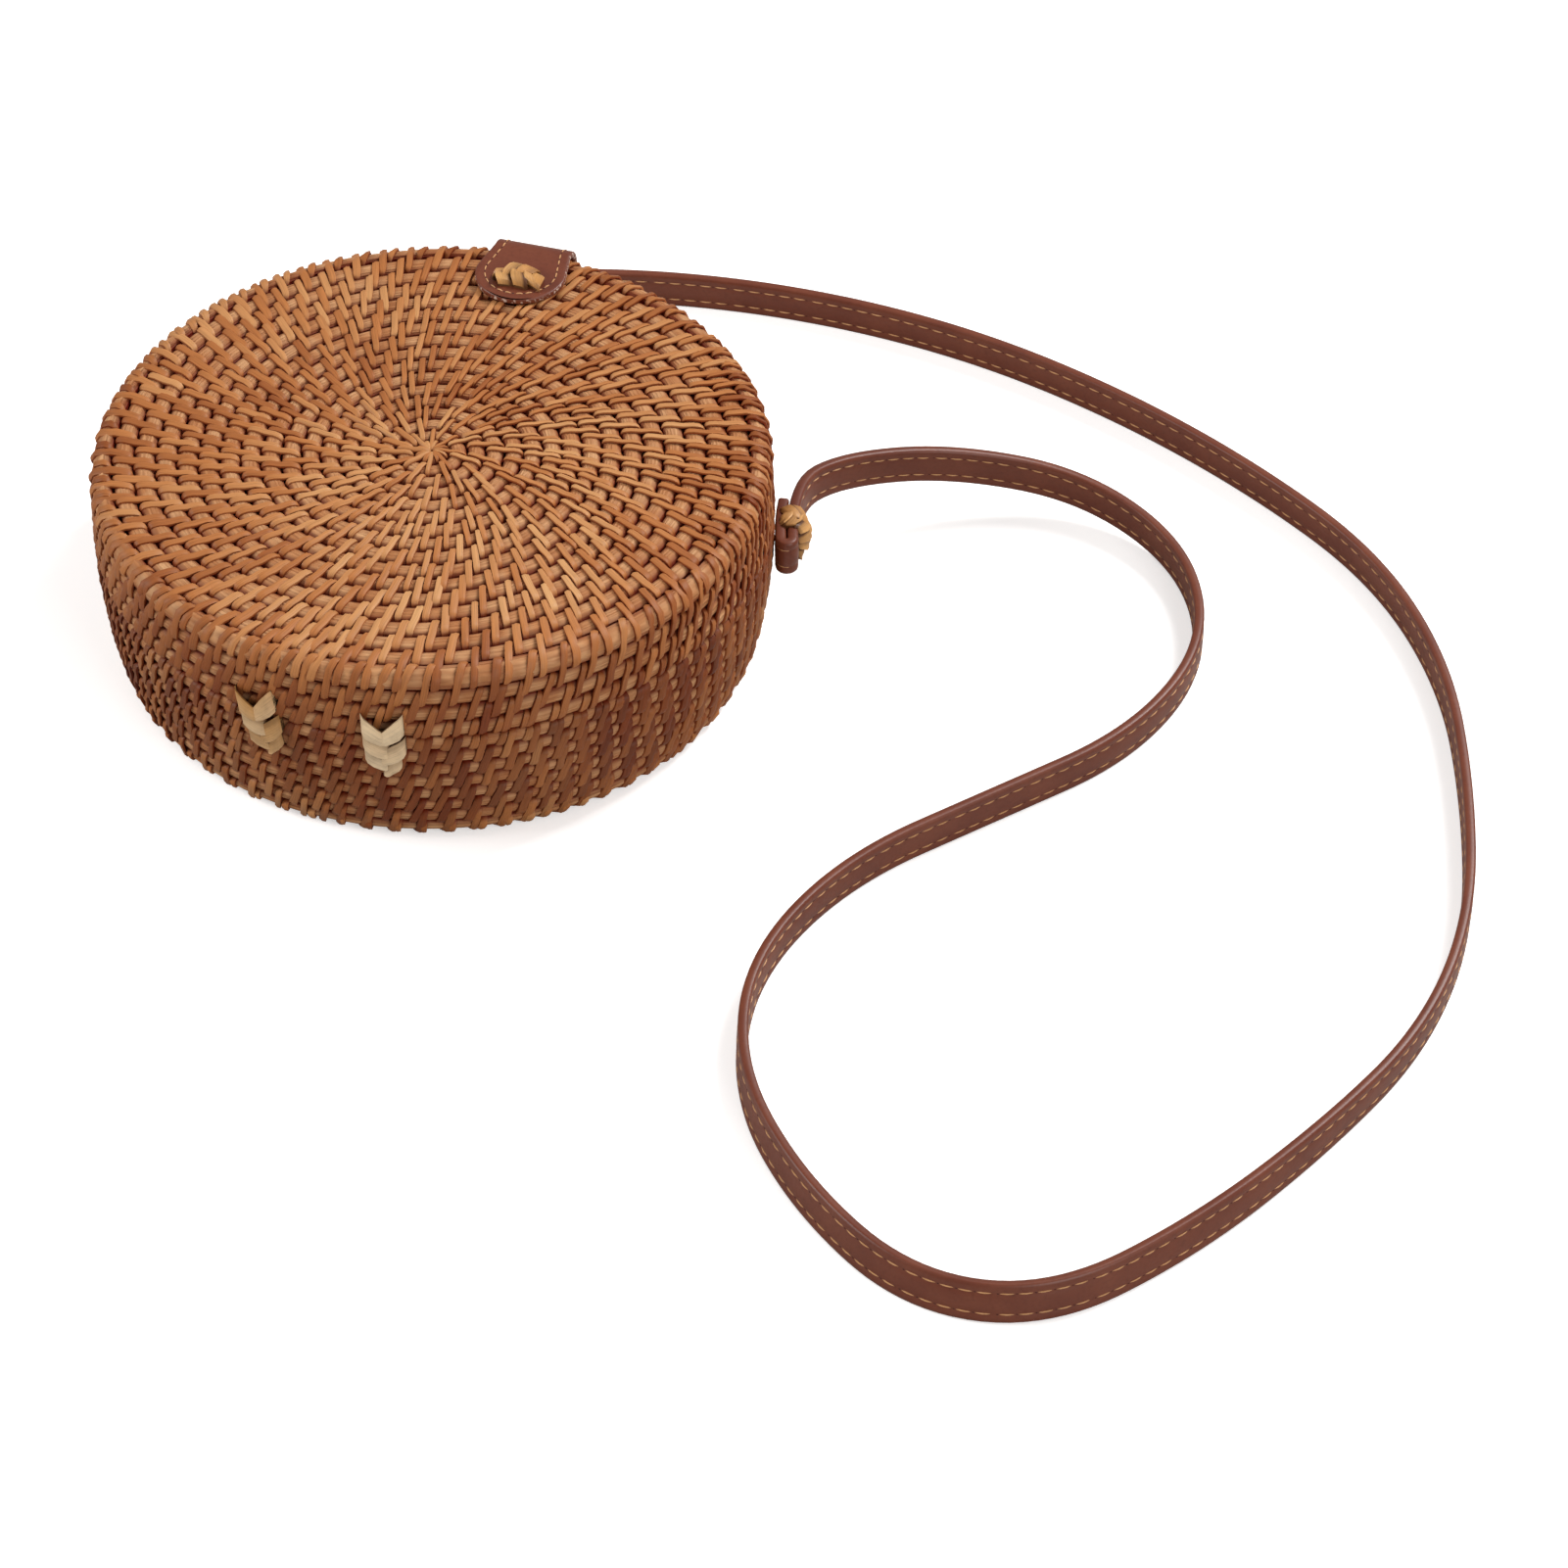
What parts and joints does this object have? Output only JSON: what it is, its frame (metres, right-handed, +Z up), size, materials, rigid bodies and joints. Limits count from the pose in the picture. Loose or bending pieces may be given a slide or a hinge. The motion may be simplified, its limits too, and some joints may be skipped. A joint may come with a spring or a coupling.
{
  "type": "round rattan shoulder bag",
  "caption": "Round coiled rattan bag with a hinged lid, a leather snap tab over the rim and a long flat leather shoulder strap, lying on its back face.",
  "frame": {"origin": "middle of the back face, on the surface that the bag lies on", "axes": "+Z up through the lid, +Y towards the closure tab, hinge ties on the -Y side"},
  "size_m": [0.4295, 0.3962, 0.0741],
  "materials": {
    "front_weave": "coiled rattan, honey brown, lightly varnished",
    "back_weave": "coiled rattan, red brown, lightly varnished",
    "lining": "plain woven cotton",
    "straw_plait": "plaited rattan peel, pale, matt",
    "honey_plait": "plaited rattan peel, honey, satin",
    "leather": "smooth red-brown leather, satin, tan stitching",
    "snap_metal": "antique brass, satin"
  },
  "bodies": {
    "back_shell": {"back_face_coil": "back_weave", "back_wall_coil": "back_weave", "back_lining_disc": "lining", "back_lining_band": "lining", "hinge_tie_left_lower": "straw_plait", "hinge_tie_right_lower": "straw_plait", "hinge_knot_left_lower": "straw_plait", "hinge_knot_right_lower": "straw_plait", "snap_stud": "snap_metal", "snap_washer": "snap_metal", "strap": "leather", "strap_fold_left": "leather", "strap_fold_right": "leather", "strap_rosette_left": "honey_plait", "strap_rosette_right": "honey_plait", "strap_knot_left": "honey_plait", "strap_knot_right": "honey_plait"},
    "front_shell": {"front_face_coil": "front_weave", "front_wall_coil": "front_weave", "front_lining_disc": "lining", "front_lining_band": "lining", "hinge_tie_left_upper": "straw_plait", "hinge_tie_right_upper": "straw_plait", "hinge_knot_left_upper": "straw_plait", "hinge_knot_right_upper": "straw_plait", "closure_tab": "leather", "closure_bend": "leather", "closure_rosette": "honey_plait", "closure_rosette_knot": "honey_plait"},
    "closure_flap": {"closure_flap": "leather", "snap_cap": "snap_metal", "snap_socket": "snap_metal"}
  },
  "joints": [
    {"name": "lid_hinge", "type": "hinge", "parent": "back_shell", "child": "front_shell", "pos_m": [0, -0.1038, 0.0426], "axis": [1, 0, 0], "range_deg": [0, 150]},
    {"name": "flap_bend", "type": "hinge", "parent": "front_shell", "child": "closure_flap", "pos_m": [0, 0.0963, 0.0613], "axis": [1, 0, 0], "range_deg": [0, 90], "deforming": ["closure_bend"]}
  ]
}
